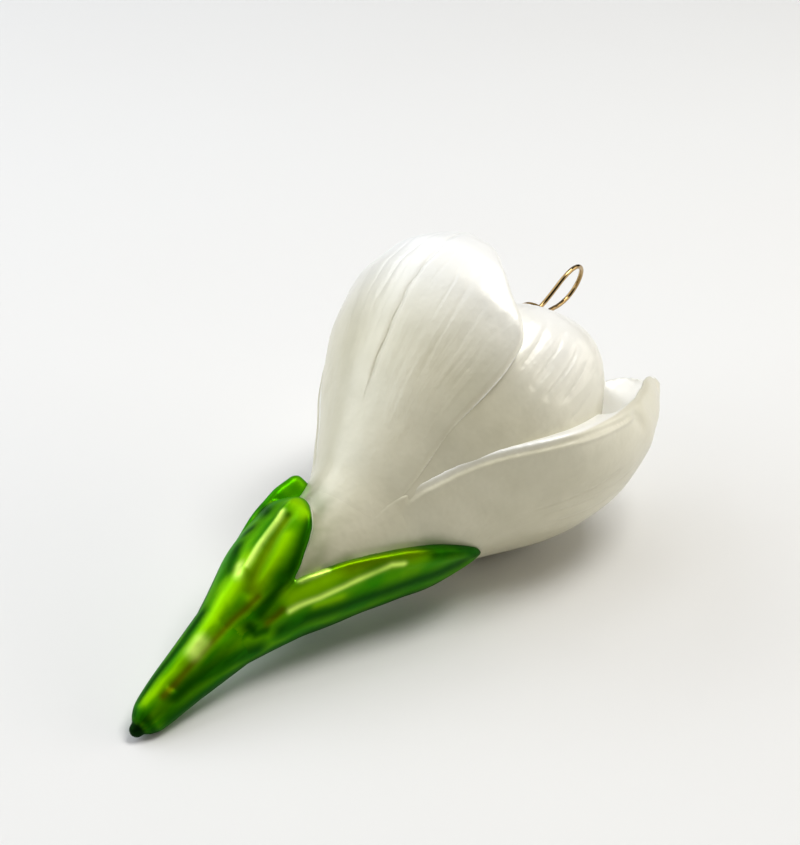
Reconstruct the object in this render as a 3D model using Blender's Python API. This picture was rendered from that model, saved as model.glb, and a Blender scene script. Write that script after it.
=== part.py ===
"""Blown-glass hanging ornament in the shape of a white crocus: flower, cap and wire hanger.

The flower is drawn standing on its stem, with local Z along the stem's line, and is then laid
down as it lies on a table. Lengths are in millimetres and angles in degrees until a mesh is made.
Angles round the stem start at the side that lies uppermost and grow towards the viewer.
"""
import math

import bmesh
import bpy
import numpy as np
from mathutils import Matrix

MM = 0.001

# Lie of the flower on the table
TILT = 17.3
TIP_HEIGHT = 1.73
FLAT_DEPTH = 0.12
TABLE_SIZE = 400 * MM

# Glass body: (height along the stem, value) pairs, each joined by a smooth curve
LEAN_AZIMUTH = 129.0
LEAN = [(0, -0.4), (12, -0.8), (32, -0.8), (42, 0.7), (50, 2.4), (57, 3.1), (64, 2.6), (74, 1.5),
        (90, 1.2), (104, 0.4), (107, 0)]
CORE_RADIUS = [(0.5, 1.1), (1.5, 2.2), (3.4, 3.2), (7, 3.9), (12, 4.6), (18, 5.5), (22, 6.1), (27, 6.8),
               (36, 8.0), (42, 9.2), (47, 10.2), (52, 11.5), (57, 13.2), (62, 15.2), (67, 17.6), (72, 20.4),
               (80, 23.6), (88, 25.2), (95, 24.4), (100, 20.5), (103.5, 15.0), (105.6, 8.0)]
NUB_HEIGHT = 0.4
NUB_RADIUS = 1.35
NECK_RADIUS = 4.1
NECK_START = 103.0
NECK_END = 112.2
BORE_RADIUS = 3.15
WALL = 1.5
BORE_END = 113.2
HOLLOW_HEIGHTS = [8, 12, 18, 27, 36, 42, 47, 52, 57, 62, 67, 72, 80, 88, 95, 100, 103]
HOLLOW_NARROWEST = 1.2
HOLLOW_TOP = [(104.4, 8.0), (105.0, BORE_RADIUS), (BORE_END, BORE_RADIUS)]

# Cap: inside profile, then outside profile, as (radius, height, how much of the flute shows)
CAP_FLUTES = 16
CAP_FLUTE_DEPTH = 0.22
CAP_UNDERSIDE = 112.5
CAP_PROFILE = [(0.01, CAP_UNDERSIDE, 0), (4.4, CAP_UNDERSIDE, 0), (4.4, 107.7, 0), (4.9, 107.7, 1),
               (4.9, 111.9, 0.6), (4.75, 112.8, 0), (4.3, 113.0, 0), (2.6, 113.7, 0), (0.01, 113.9, 0)]

# Hanger wire: one leg in the wire's own plane, as (distance from its middle line, height), then
# half of the round loop on top of it
WIRE_RADIUS = 0.45
WIRE_PLANE = 18.0
WIRE_OFFSET = 1.2
WIRE_OFFSET_AZIMUTH = -66.0
LEG = [(6.5, 97.0), (4.0, 100.0), (3.0, 102.4), (1.85, 105.0), (1.75, 108.0), (1.75, 111.3), (1.75, 114.3),
       (2.25, 116.1), (3.3, 118.9), (4.3, 121.3)]
LEG_SPREAD = 1.75
LEG_HOLE_GAP = 0.3
LEG_HOLE_DEPTH = 6.0
LOOP_RADIUS = 4.55
LOOP_CENTRE = 122.9
LOOP_START = 5
LOOP_POINTS = 6

CORE_SIDES = 30
WIRE_SIDES = 8

# Blades: rings crowd towards the tip, and the rim is rounded over a corner
RING_CROWDING = 1.7
TIP_GAP = 0.02
NARROWEST = 0.15
TIP_ROUNDING = 1.2
THINNEST_TIP = 0.42
RIM_CORNER = math.radians(50)
WIDEST_RIM = 0.8

# Petals and bracts. Each row gives, along the stem, the azimuth of its middle, the radius of its
# outer face and its half width in degrees, how far its margins curl in (cup) and how far it is
# turned about its own length (twist), both in millimetres at the margin; rim is its free thickness.
OUTER_FACE = [(48, 9.6), (52, 11.6), (57, 13.6), (62, 16.4), (67, 19.3), (72, 22.7), (77, 25.8), (82, 28.7),
              (87, 30.8)]
INNER_FACE = [(54, 11.4), (60, 14.6), (66, 17.9), (72, 21.9), (80, 25.6), (88, 27.7), (95, 28.1),
              (100, 27.2), (104, 24.5), (107, 19.7), (109, 15.0), (110.4, 11.0)]
INNER_WIDTH = [(54, 50), (90, 50), (97, 43), (102, 33.5), (106, 23.5), (109, 12.5), (110.4, 0)]
INNER_CUP = [(54, 0), (88, 0.3), (95, 1.4), (100, 4.0), (104, 5.0), (107, 4.2), (109, 2.2), (110.4, 0.2)]
LEVEL = [(0, 0), (200, 0)]

PETALS = [
    dict(name="top", middle=[(48, -3), (78, -5), (92, -6.8), (98.5, -7.4), (102, -9), (105, -12)],
         face=OUTER_FACE + [(92, 32.2), (97, 32.2), (101, 30.6), (105.5, 27.2)],
         width=[(48, 52), (58, 50), (64, 48.5), (74, 46.5), (82, 46), (88, 44.5), (92, 39.2), (95.5, 31),
                (98.5, 24.8), (101.5, 18.5), (104, 10), (105.1, 4.2), (105.5, 0)],
         cup=[(48, 0), (80, 0.5), (92, 1.2), (105, 1.2)], twist=LEVEL, rim=2.6),
    dict(name="front", middle=[(48, 118), (96, 119), (110, 117.5), (119.6, 120)],
         face=OUTER_FACE + [(92, 32.0), (97, 32.6), (103, 32.2), (109, 30.4), (115, 27.8), (119.6, 25.0)],
         width=[(48, 69), (58, 69), (66, 62), (73, 54.5), (81, 46.5), (86, 42.5), (95.7, 35), (102, 29),
                (107, 22.5), (112, 15.5), (116, 9.5), (118.6, 4.5), (119.6, 0)],
         cup=[(48, 0), (75, 0.1), (86, 0.9), (96, 3.0), (105, 5.4), (112, 6.2), (116, 4.2), (119.6, 1.0)],
         twist=[(75, 0), (96, -1.6), (105, -3.2), (112, -3.8), (116, -2.6), (119.6, 0)], rim=2.4),
    dict(name="back", middle=[(48, 242), (116, 241)],
         face=OUTER_FACE + [(92, 32.0), (97, 32.3), (103, 31.4), (109, 29.0), (115.5, 24.6)],
         width=[(48, 60), (58, 60), (66, 53), (73, 48), (82, 43), (90, 38), (98, 32), (104, 25), (109, 17),
                (113, 9), (114.8, 4), (115.5, 0)],
         cup=[(48, 0), (75, 0), (86, 0.45), (96, 2.4), (108, 4.2), (115, 1.5)], twist=LEVEL, rim=2.4),
    dict(name="inner_front", middle=[(54, 62), (90, 62), (104, 66), (110.4, 74)], face=INNER_FACE,
         width=INNER_WIDTH, cup=INNER_CUP, twist=[(97, 0), (106, 1.4), (109, 0.9), (110.4, 0)], rim=2.2),
    dict(name="inner_bottom", middle=[(54, 181), (110, 181)], face=INNER_FACE, width=INNER_WIDTH,
         cup=INNER_CUP, twist=LEVEL, rim=2.2),
    dict(name="inner_back", middle=[(54, -60), (110, -62)], face=INNER_FACE, width=INNER_WIDTH,
         cup=INNER_CUP, twist=LEVEL, rim=2.2),
]
# Height where a petal's inner face leaves the body, and how deep it is sunk in below that
STAND_FREE = 97.0
SEAT_DEPTH = 1.0

BRACT_FACE = [(20, 5.4), (27, 7.6), (32, 9.3), (37, 10.9)]
BRACTS = [
    dict(name="near_bract", middle=[(20, -12), (48, -20)],
         face=BRACT_FACE + [(42, 12.3), (46, 13.2), (48.8, 12.5)],
         width=[(20, 60), (30, 62), (36, 65), (40, 55), (44, 43.5), (46.5, 31), (48.2, 16), (48.8, 0)],
         cup=LEVEL, twist=LEVEL, rim=2.3),
    dict(name="front_bract", middle=[(20, 114), (36, 117), (67, 121)],
         face=BRACT_FACE + [(42, 12.0), (46, 12.8), (52, 14.4), (57, 16.3), (62, 18.1), (67.5, 20.0)],
         width=[(20, 60), (30, 63), (36, 68), (40, 63.5), (46, 56), (52, 46), (58, 33), (63, 19), (66.5, 7),
                (67.5, 0)], cup=LEVEL, twist=LEVEL, rim=2.2),
    dict(name="back_bract", middle=[(20, -118), (36, -108), (48, -84), (55, -56)],
         face=BRACT_FACE + [(42, 13.0), (46, 14.3), (50, 15.2), (53, 15.2), (55, 14.3)],
         width=[(20, 60), (30, 60), (36, 58), (42, 49), (48, 38), (52, 22), (54.2, 10), (55, 0)],
         cup=LEVEL, twist=LEVEL, rim=2.2),
]

PEARL_WHITE = (0.86, 0.85, 0.82, 1)
GOLD = (0.75, 0.52, 0.24, 1)


def clear_scene():
    for item in list(bpy.data.objects):
        bpy.data.objects.remove(item, do_unlink=True)


def curve(pairs, x):
    """Smooth curve through a few (position, value) pairs, without overshoot between them."""
    at, value = np.array(pairs, float).T
    steps = np.diff(at)
    rises = np.diff(value) / steps
    slopes = np.zeros(len(at))
    slopes[0] = rises[0]
    slopes[-1] = rises[-1]
    for i in range(1, len(steps)):
        if rises[i - 1] * rises[i] > 0:
            slopes[i] = 2 / (1 / rises[i - 1] + 1 / rises[i])
    x = np.clip(np.asarray(x, float), at[0], at[-1])
    i = np.clip(np.searchsorted(at, x) - 1, 0, len(steps) - 1)
    t = (x - at[i]) / steps[i]
    return (value[i] * (1 + 2 * t) * (1 - t) ** 2 + value[i + 1] * t ** 2 * (3 - 2 * t)
            + steps[i] * (slopes[i] * t * (1 - t) ** 2 + slopes[i + 1] * t ** 2 * (t - 1)))


def round_stem(height, radius, azimuth):
    """Point at a radius and azimuth round the leaning middle line, at a height along the stem."""
    lean = curve(LEAN, height)
    side = math.radians(LEAN_AZIMUTH)
    angle = np.radians(azimuth)
    x = radius * np.cos(angle) + lean * math.cos(side)
    y = radius * np.sin(angle) + lean * math.sin(side)
    return np.stack(np.broadcast_arrays(x, y, height), axis=-1)


def new_object(name, points, faces):
    mesh = bpy.data.meshes.new(name)
    mesh.from_pydata([tuple(p * MM) for p in points], [], faces)
    item = bpy.data.objects.new(name, mesh)
    bpy.context.scene.collection.objects.link(item)
    return item


def face_outwards(item):
    work = bmesh.new()
    work.from_mesh(item.data)
    bmesh.ops.remove_doubles(work, verts=work.verts, dist=1e-6)
    bmesh.ops.recalc_face_normals(work, faces=work.faces)
    work.to_mesh(item.data)
    work.free()


def loft(name, rings):
    """Closed skin over rings of equally many points; the first and last ring are closed flat."""
    count = len(rings[0])
    faces = []
    for i in range(len(rings) - 1):
        for j in range(count):
            k = (j + 1) % count
            faces.append((i * count + j, i * count + k, (i + 1) * count + k, (i + 1) * count + j))
    faces.append(tuple(range(count)))
    last = (len(rings) - 1) * count
    faces.append(tuple(range(last + count - 1, last - 1, -1)))
    item = new_object(name, [p for ring in rings for p in ring], faces)
    face_outwards(item)
    return item


def turned(name, heights, radii):
    """Round body about the leaning middle line."""
    azimuths = np.arange(CORE_SIDES) * 360 / CORE_SIDES
    return loft(name, [round_stem(h, r, azimuths) for h, r in zip(heights, radii)])


def blade(spec, seat, rings=15, across=7):
    """Petal or bract: a curved blade with a rounded rim, its root sunk into the body."""
    foot = spec["width"][0][0]
    end = spec["width"][-1][0]
    run = 1 - (1 - np.linspace(0, 1, rings)) ** RING_CROWDING
    heights = foot + (end - foot) * run
    heights[-1] = end - TIP_GAP
    loops = []
    for height in heights:
        middle = curve(spec["middle"], height)
        radius = curve(spec["face"], height)
        half = max(curve(spec["width"], height), NARROWEST)
        tip_span = spec["rim"] * TIP_ROUNDING
        near_tip = np.clip((height - end + tip_span) / tip_span, 0, 1)
        rim = spec["rim"] * max(math.sqrt(1 - near_tip ** 2), THINNEST_TIP)
        inside = min(radius - rim, seat(height))
        rounding = min(math.degrees(rim / 2 / radius) / half, WIDEST_RIM)
        flat = np.linspace(-1 + rounding, 1 - rounding, across)
        corner = 1 - rounding + rounding * math.sin(RIM_CORNER)
        drop = rim / 2 * (1 - math.cos(RIM_CORNER))
        outer_v = np.concatenate([[-1], [-corner], flat, [corner], [1]])
        edge_r = [radius - rim / 2, radius - drop]
        outer_r = np.concatenate([edge_r, np.full(across, radius), edge_r[::-1]])
        inner_v = np.concatenate([[corner], flat[::-2], [-corner]])
        inner_r = np.full(len(inner_v), inside)
        inner_r[0] = inner_r[-1] = min(radius - rim + drop, inside + drop)
        v = np.concatenate([outer_v, inner_v])
        r = np.concatenate([outer_r, inner_r]) - curve(spec["cup"], height) * v ** 2
        r += curve(spec["twist"], height) * v
        loops.append(round_stem(height, r, middle + half * v))
    return loft(spec["name"], loops)


def body_radius(height):
    return curve(CORE_RADIUS, height)


def petal_seat(height):
    """Radius that a petal's inner face sinks to, so that it is one with the body lower down."""
    return body_radius(height) - SEAT_DEPTH if height < STAND_FREE else 1000.0


def bract_seat(height):
    return body_radius(height) - SEAT_DEPTH


def apply_modifiers(item):
    graph = bpy.context.evaluated_depsgraph_get()
    mesh = bpy.data.meshes.new_from_object(item.evaluated_get(graph))
    item.modifiers.clear()
    item.data = mesh


def remove_objects(items):
    for item in items:
        bpy.data.objects.remove(item, do_unlink=True)


def fuse(item, others):
    """One Boolean union with every object in the list, which is then removed."""
    group = bpy.data.collections.new("fused")
    bpy.context.scene.collection.children.link(group)
    for other in others:
        bpy.context.scene.collection.objects.unlink(other)
        group.objects.link(other)
    join = item.modifiers.new("fuse", "BOOLEAN")
    join.operation = "UNION"
    join.operand_type = "COLLECTION"
    join.solver = "EXACT"
    join.collection = group
    apply_modifiers(item)
    remove_objects(others)
    bpy.data.collections.remove(group)


def cut(item, cutter):
    take = item.modifiers.new("cut", "BOOLEAN")
    take.operation = "DIFFERENCE"
    take.solver = "EXACT"
    take.object = cutter
    apply_modifiers(item)
    remove_objects([cutter])


def material(name, colour, roughness, metallic):
    surface = bpy.data.materials.new(name)
    surface.use_nodes = True
    shader = surface.node_tree.nodes["Principled BSDF"]
    shader.inputs["Base Color"].default_value = colour
    shader.inputs["Roughness"].default_value = roughness
    shader.inputs["Metallic"].default_value = metallic
    return surface


def nub():
    work = bmesh.new()
    bmesh.ops.create_icosphere(work, subdivisions=2, radius=NUB_RADIUS * MM)
    bmesh.ops.translate(work, verts=work.verts, vec=(0, 0, NUB_HEIGHT * MM))
    mesh = bpy.data.meshes.new("nub")
    work.to_mesh(mesh)
    work.free()
    item = bpy.data.objects.new("nub", mesh)
    bpy.context.scene.collection.objects.link(item)
    return item


def neck():
    return turned("neck", [NECK_START, NECK_END], [NECK_RADIUS, NECK_RADIUS])


def hollow():
    """Inside of the blown body, open through the neck."""
    heights = HOLLOW_HEIGHTS + [h for h, r in HOLLOW_TOP]
    radii = [max(float(body_radius(h)) - WALL, HOLLOW_NARROWEST) for h in HOLLOW_HEIGHTS]
    return turned("hollow", heights, radii + [r for h, r in HOLLOW_TOP])


def glass_flower(place):
    """The one blown piece: stem, bracts and petals in a single hollow skin."""
    heights = [h for h, r in CORE_RADIUS]
    body = turned("glass_flower", heights, [r for h, r in CORE_RADIUS])
    petals = [blade(spec, petal_seat) for spec in PETALS]
    bracts = [blade(spec, bract_seat, rings=11, across=5) for spec in BRACTS]
    fuse(body, petals + bracts + [nub(), neck()])
    cut(body, hollow())
    body.data.transform(place)
    cut(body, table_block())
    body.data.materials.clear()
    body.data.materials.append(material("pearl_lacquered_glass", PEARL_WHITE, 0.3, 0.0))
    return body


def table_block():
    """Block under the table's surface, which leaves three small flats where the flower rests."""
    work = bmesh.new()
    bmesh.ops.create_cube(work, size=TABLE_SIZE)
    bmesh.ops.translate(work, verts=work.verts, vec=(0, 0, -TABLE_SIZE / 2))
    mesh = bpy.data.meshes.new("table")
    work.to_mesh(mesh)
    work.free()
    item = bpy.data.objects.new("table", mesh)
    bpy.context.scene.collection.objects.link(item)
    return item


def cap(place):
    """Crimped metal cap over the neck, with two holes for the wire."""
    sides = CAP_FLUTES * 3
    azimuths = np.arange(sides) * 360 / sides
    flute = CAP_FLUTE_DEPTH * (1 + np.cos(np.radians(azimuths * CAP_FLUTES))) / 2
    item = loft("cap", [round_stem(height, radius + flute * share, azimuths)
                        for radius, height, share in CAP_PROFILE])
    for side in (0, 180):
        angle = math.radians(WIRE_PLANE + side)
        out = LEG_SPREAD * np.array([math.cos(angle), math.sin(angle), 0.0])
        spot = wire_offset() + out + np.array([0.0, 0.0, CAP_UNDERSIDE])
        cut(item, leg_hole(spot))
    item.data.transform(place)
    item.data.materials.clear()
    item.data.materials.append(material("gold_cap", GOLD, 0.25, 1.0))
    return item


def wire_offset():
    """The wire sits a little to one side of the cap's middle."""
    angle = math.radians(WIRE_OFFSET_AZIMUTH)
    return WIRE_OFFSET * np.array([math.cos(angle), math.sin(angle), 0.0])


def leg_hole(spot):
    work = bmesh.new()
    radius = (WIRE_RADIUS + LEG_HOLE_GAP) * MM
    bmesh.ops.create_cone(work, cap_ends=True, segments=12, radius1=radius, radius2=radius,
                          depth=LEG_HOLE_DEPTH * MM)
    bmesh.ops.translate(work, verts=work.verts, vec=spot * MM)
    mesh = bpy.data.meshes.new("leg_hole")
    work.to_mesh(mesh)
    work.free()
    item = bpy.data.objects.new("leg_hole", mesh)
    bpy.context.scene.collection.objects.link(item)
    return item


def wire_route():
    """Middle of the hanger wire in its own plane: (sideways, height) from one foot to the other."""
    turns = np.radians(np.linspace(LOOP_START, 90, LOOP_POINTS))
    arc = [(LOOP_RADIUS * math.cos(t), LOOP_CENTRE + LOOP_RADIUS * math.sin(t)) for t in turns]
    right = LEG + arc
    left = [(-x, z) for x, z in reversed(right[:-1])]
    return right + left


def hanger_wire(place):
    """Spring wire: a round loop above the cap and two legs that spread inside the glass."""
    angle = math.radians(WIRE_PLANE)
    across = np.array([math.cos(angle), math.sin(angle), 0.0])
    normal = np.array([-math.sin(angle), math.cos(angle), 0.0])
    route = [wire_offset() + across * x + np.array([0, 0, z]) for x, z in wire_route()]
    rings = []
    for i, point in enumerate(route):
        ahead = route[min(i + 1, len(route) - 1)]
        behind = route[max(i - 1, 0)]
        along = (ahead - behind) / np.linalg.norm(ahead - behind)
        sideways = np.cross(normal, along)
        turns = np.radians(np.arange(WIRE_SIDES) * 360 / WIRE_SIDES)
        rings.append([point + WIRE_RADIUS * (normal * math.cos(t) + sideways * math.sin(t)) for t in turns])
    item = loft("hanger_wire", rings)
    item.data.transform(place)
    item.data.materials.clear()
    item.data.materials.append(material("gold_wire", GOLD, 0.2, 1.0))
    return item


def lying_down():
    """Turns local Z to the stem's line on the table; local X then points up."""
    tilt = math.radians(TILT)
    turn = Matrix(((-math.sin(tilt), 0, math.cos(tilt)), (0, -1, 0), (math.cos(tilt), 0, math.sin(tilt))))
    return Matrix.Translation((0, 0, (TIP_HEIGHT - FLAT_DEPTH) * MM)) @ turn.to_4x4()


def centre(items):
    """Moves the whole ornament so that the middle of its outline box is over the origin."""
    points = np.array([item.matrix_world @ v.co for item in items for v in item.data.vertices])
    middle = (points.min(axis=0) + points.max(axis=0)) / 2
    for item in items:
        item.data.transform(Matrix.Translation((-middle[0], -middle[1], 0)))


def shade(item):
    item.data.shade_smooth()
    item.data.set_sharp_from_angle(angle=math.radians(40))


def build():
    clear_scene()
    place = lying_down()
    items = [glass_flower(place), cap(place), hanger_wire(place)]
    centre(items)
    for item in items:
        shade(item)


build()
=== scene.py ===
"""Hanging ornament of blown glass in the shape of a white crocus, lying on a pale table.

The flower is drawn standing on its stem, in millimetres, with Z along the stem's line and azimuths
round it that start at the side lying uppermost and grow towards the viewer. Finished pieces are laid
down in the frame's metres.
"""
import math

import bpy
import numpy as np
from mathutils import Matrix, Vector
from mathutils.bvhtree import BVHTree


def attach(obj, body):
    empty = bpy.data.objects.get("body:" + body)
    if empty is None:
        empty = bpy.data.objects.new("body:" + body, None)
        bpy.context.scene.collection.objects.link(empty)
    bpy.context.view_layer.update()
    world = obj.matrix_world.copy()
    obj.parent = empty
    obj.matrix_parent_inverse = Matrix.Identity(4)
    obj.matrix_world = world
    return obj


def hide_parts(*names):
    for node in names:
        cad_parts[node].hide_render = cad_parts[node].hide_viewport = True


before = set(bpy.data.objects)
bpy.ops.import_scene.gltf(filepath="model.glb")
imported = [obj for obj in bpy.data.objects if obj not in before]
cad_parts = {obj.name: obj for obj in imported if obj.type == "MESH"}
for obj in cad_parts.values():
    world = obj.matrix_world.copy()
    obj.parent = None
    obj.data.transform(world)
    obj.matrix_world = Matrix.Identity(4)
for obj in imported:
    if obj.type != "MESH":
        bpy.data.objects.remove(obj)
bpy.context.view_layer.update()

# Stem and bracts: the lower end of one hollow blown glass flower, blown into a mould and melted shut
# in a small nub. Three bracts stand on the stem, each with a keel, and all of it has green lacquer.
MM = 0.001
TILT = math.radians(17.3)
TABLE_MIDDLE = (-60.633, 1.192, 1.61)
LEAN_AZIMUTH = math.radians(129)
# By height: how far the middle line leans that way, and how wide the body is round it
LEAN = [(0, -0.4), (12, -0.8), (32, -0.8), (42, 0.7), (50, 2.4), (57, 3.1), (64, 2.6), (74, 1.5), (90, 1.2),
        (104, 0.4), (107, 0)]
BODY_RADIUS = [(0.5, 1.1), (1.5, 2.2), (3.4, 3.2), (7, 3.9), (12, 4.6), (18, 5.5), (22, 6.1), (27, 6.8),
               (36, 8.0), (42, 9.2), (47, 10.2), (52, 11.5), (57, 13.2), (62, 15.2), (67, 17.6), (72, 20.4),
               (80, 23.6), (88, 25.2), (95, 24.4), (100, 20.5), (103.5, 15.0), (105.6, 8.0)]
NUB_HEIGHT, NUB_RADIUS = 0.4, 1.35
SUNK_UNDER_PETALS = [(0, 0), (33, 0), (37, 0.5), (60, 0.5)]

# Each bract and petal, along the stem: azimuth of the middle, radius of the outer face, half width in
# degrees, how far the margins curl in, how far the blade is twisted, and the rim's thickness
LEVEL = [(0, 0), (200, 0)]
BRACT_FACE = [(20, 5.4), (27, 7.6), (32, 9.3), (37, 10.9)]
BRACTS = [
    dict(name="near_bract", middle=[(20, -12), (34, -17.5), (48, -23)],
         face=BRACT_FACE + [(42, 12.3), (46, 13.2), (48.8, 12.5)],
         width=[(20, 60), (30, 66), (34, 68), (37, 62), (40, 52.5), (44, 40.5), (46.5, 28.5), (48.2, 15),
                (48.8, 0)],
         curl=LEVEL, twist=LEVEL, rim=2.3),
    dict(name="front_bract", middle=[(20, 114), (36, 117), (67, 121)],
         face=BRACT_FACE + [(42, 12.0), (46, 12.8), (52, 14.4), (57, 16.3), (62, 18.1), (67.5, 20.0)],
         width=[(20, 60), (30, 63), (36, 68), (40, 63.5), (46, 56), (52, 46), (58, 33), (63, 19), (66.5, 7),
                (67.5, 0)], curl=LEVEL, twist=LEVEL, rim=2.2),
    dict(name="back_bract", middle=[(20, -118), (36, -108), (48, -84), (55, -56)],
         face=BRACT_FACE + [(42, 13.0), (46, 14.3), (50, 15.2), (53, 15.2), (55, 14.3)],
         width=[(20, 60), (30, 60), (36, 58), (42, 49), (48, 38), (52, 22), (54.2, 10), (55, 0)],
         curl=LEVEL, twist=LEVEL, rim=2.2),
    dict(name="web_between_bracts", middle=[(14, 49), (38, 50)],
         face=[(14, 4.6), (20, 5.5), (27, 7.5), (32, 9.0), (36, 9.8)],
         width=[(14, 12), (29, 14), (33, 10), (35.2, 0)], curl=LEVEL, twist=LEVEL, rim=1.6),
]
ROUND = 2.0
SEAT_DEPTH = 1.0
STAND_FREE = (92.0, 97.5)
RING_CROWDING = 1.7
NARROWEST, TIP_GAP, MOST_ROUNDING = 0.15, 0.02, 0.8
TIP_ROUNDING, THINNEST_TIP = 1.2, 0.42
# A rim is made deeper where its face is steep, so that it doesn't get thin across the slope
STEEP, SLOPE_STEP = 1.3, 0.3
# Size of the cubes that a skin is melted together with, and how many times it is softened after that
STEM_VOXEL, STEM_SOFTENING = 0.3, 4
# Lowest and highest ring of the body, and how many rings there are
STEM_BODY = (0.5, 50, 110)


def along(pairs, x):
    """Smooth curve through a few (position, value) pairs, without overshoot between them."""
    at, value = np.array(pairs, float).T
    steps = np.diff(at)
    rises = np.diff(value) / steps
    slopes = np.concatenate([rises[:1], np.zeros(len(at) - 2), rises[-1:]])
    for i in range(1, len(steps)):
        if rises[i - 1] * rises[i] > 0:
            slopes[i] = 2 / (1 / rises[i - 1] + 1 / rises[i])
    x = np.clip(np.asarray(x, float), at[0], at[-1])
    i = np.clip(np.searchsorted(at, x) - 1, 0, len(steps) - 1)
    t = (x - at[i]) / steps[i]
    return (value[i] * (1 + 2 * t) * (1 - t) ** 2 + value[i + 1] * t ** 2 * (3 - 2 * t)
            + steps[i] * (slopes[i] * t * (1 - t) ** 2 + slopes[i + 1] * t ** 2 * (t - 1)))


def ease(low, high, x):
    """0 below low, 1 above high, and smooth between them."""
    t = np.clip((np.asarray(x, float) - low) / (high - low), 0, 1)
    return t * t * (3 - 2 * t)


def round_stem(height, radius, azimuth):
    """Points at radii and azimuths in degrees round the leaning middle line."""
    lean = along(LEAN, height)
    x = radius * np.cos(np.radians(azimuth)) + lean * math.cos(LEAN_AZIMUTH)
    y = radius * np.sin(np.radians(azimuth)) + lean * math.sin(LEAN_AZIMUTH)
    return np.stack(np.broadcast_arrays(x, y, height), axis=-1)


def blade_grid(spec, rings=110, across=64, corner=9):
    """Rings of one petal or bract: outer face, round rim, inner face and the other rim."""
    foot, end = spec["width"][0][0], spec["width"][-1][0]
    height = foot + (end - foot) * (1 - (1 - np.linspace(0, 1, rings)) ** RING_CROWDING)
    height[-1] = end - TIP_GAP
    radius = along(spec["face"], height)
    half = np.maximum(along(spec["width"], height), NARROWEST)
    span = spec["rim"] * TIP_ROUNDING
    near_tip = np.clip((height - end + span) / span, 0, 1)
    rim = spec["rim"] * np.maximum(np.sqrt(1 - near_tip ** 2), THINNEST_TIP)
    seat = along(BODY_RADIUS, height) - SEAT_DEPTH
    free = ease(*STAND_FREE, height)
    before, after = (along(spec["face"], height + step) for step in (-SLOPE_STEP, SLOPE_STEP))
    slope = (after - before) / SLOPE_STEP / 2
    deep_rim = rim * np.maximum(np.sqrt(1 + slope ** 2) / STEEP, 1)
    inside = np.minimum(radius - deep_rim, seat) * (1 - free) + (radius - deep_rim) * free
    rounding = np.minimum(np.degrees(rim / 2 / radius) / half, MOST_ROUNDING)
    height, radius, half, rim, inside, rounding = (
        a[:, None] for a in (height, radius, half, rim, inside, rounding))
    turn = np.radians(np.linspace(0, 180, 2 * corner + 1))[1:-1]
    sharp = 2 / spec.get("squareness", ROUND)
    side_v = 1 - rounding + rounding * np.sin(turn) ** sharp
    deep = np.where(turn > math.pi / 2, radius - rim / 2 - inside, rim / 2)
    side_r = radius - rim / 2 + deep * np.sign(np.cos(turn)) * np.abs(np.cos(turn)) ** sharp
    flat = (1 - rounding) * np.linspace(-1, 1, across)
    v = np.concatenate([flat, side_v, flat[:, ::-2], -side_v[:, ::-1]], axis=1)
    r = np.concatenate([radius + 0 * flat, side_r, inside + 0 * flat[:, ::-2], side_r[:, ::-1]], axis=1)
    r = r - along(spec["curl"], height) * v ** 2 + along(spec["twist"], height) * v
    return round_stem(height + 0 * v, r, along(spec["middle"], height) + half * v)


def turned_grid(profile, sides=96):
    """Rings of a round body, from (height, radius) pairs."""
    height, radius = (np.array(column, float)[:, None] for column in zip(*profile))
    return round_stem(height + np.zeros(sides), radius, np.arange(sides) * 360 / sides)


def ring_faces(rings, count, start=0):
    """Quads between rings of points and one flat face on each end, facing outwards."""
    i, j = np.meshgrid(np.arange(rings - 1), np.arange(count), indexing="ij")
    k = (j + 1) % count
    quads = np.stack([i * count + j, i * count + k, (i + 1) * count + k, (i + 1) * count + j], axis=-1)
    last = start + (rings - 1) * count
    ends = [list(range(start + count - 1, start - 1, -1)), list(range(last, last + count))]
    return (quads.reshape(-1, 4) + start).tolist() + ends


def new_piece(name, points, faces):
    """An object of points and faces, in the scene."""
    mesh = bpy.data.meshes.new(name)
    mesh.from_pydata(np.asarray(points).tolist(), [], faces)
    item = bpy.data.objects.new(name, mesh)
    bpy.context.scene.collection.objects.link(item)
    return item


def made_plain(item):
    """Turns what the modifiers give into the piece's own mesh."""
    graph = bpy.context.evaluated_depsgraph_get()
    mesh = bpy.data.meshes.new_from_object(item.evaluated_get(graph))
    item.modifiers.clear()
    item.data = mesh


def vertex_array(mesh):
    """A mesh's points, one to a row."""
    flat = np.empty(len(mesh.vertices) * 3)
    mesh.vertices.foreach_get("co", flat)
    return flat.reshape(-1, 3)


def body_grid(low, high, rings, sunk):
    """Rings of the round body, sunk where blades cover it."""
    heights = np.linspace(low, high, rings)
    return turned_grid(list(zip(heights, along(BODY_RADIUS, heights) - along(sunk, heights))))


def melted(name, blades, bodies, voxel, softening):
    """One closed skin round blades and bodies, softened as glass is, and each point's blade number."""
    points, faces, owners = [], [], []
    for number, grid in enumerate([blade_grid(spec) for spec in blades] + bodies):
        made = ring_faces(*grid.shape[:2], start=sum(len(p) for p in points))
        points.append(grid.reshape(-1, 3))
        faces += made
        owners += [number] * len(made)
    points = np.concatenate(points)
    forms = BVHTree.FromPolygons(points.tolist(), faces)
    item = new_piece(name, points, faces)
    melt = item.modifiers.new("melt", "REMESH")
    melt.mode = "VOXEL"
    melt.voxel_size = voxel
    soften = item.modifiers.new("soften", "SMOOTH")
    soften.factor = 0.5
    soften.iterations = softening
    made_plain(item)
    nearest = [forms.find_nearest(p)[2] for p in vertex_array(item.data).tolist()]
    return item, np.array(owners)[nearest]


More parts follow.
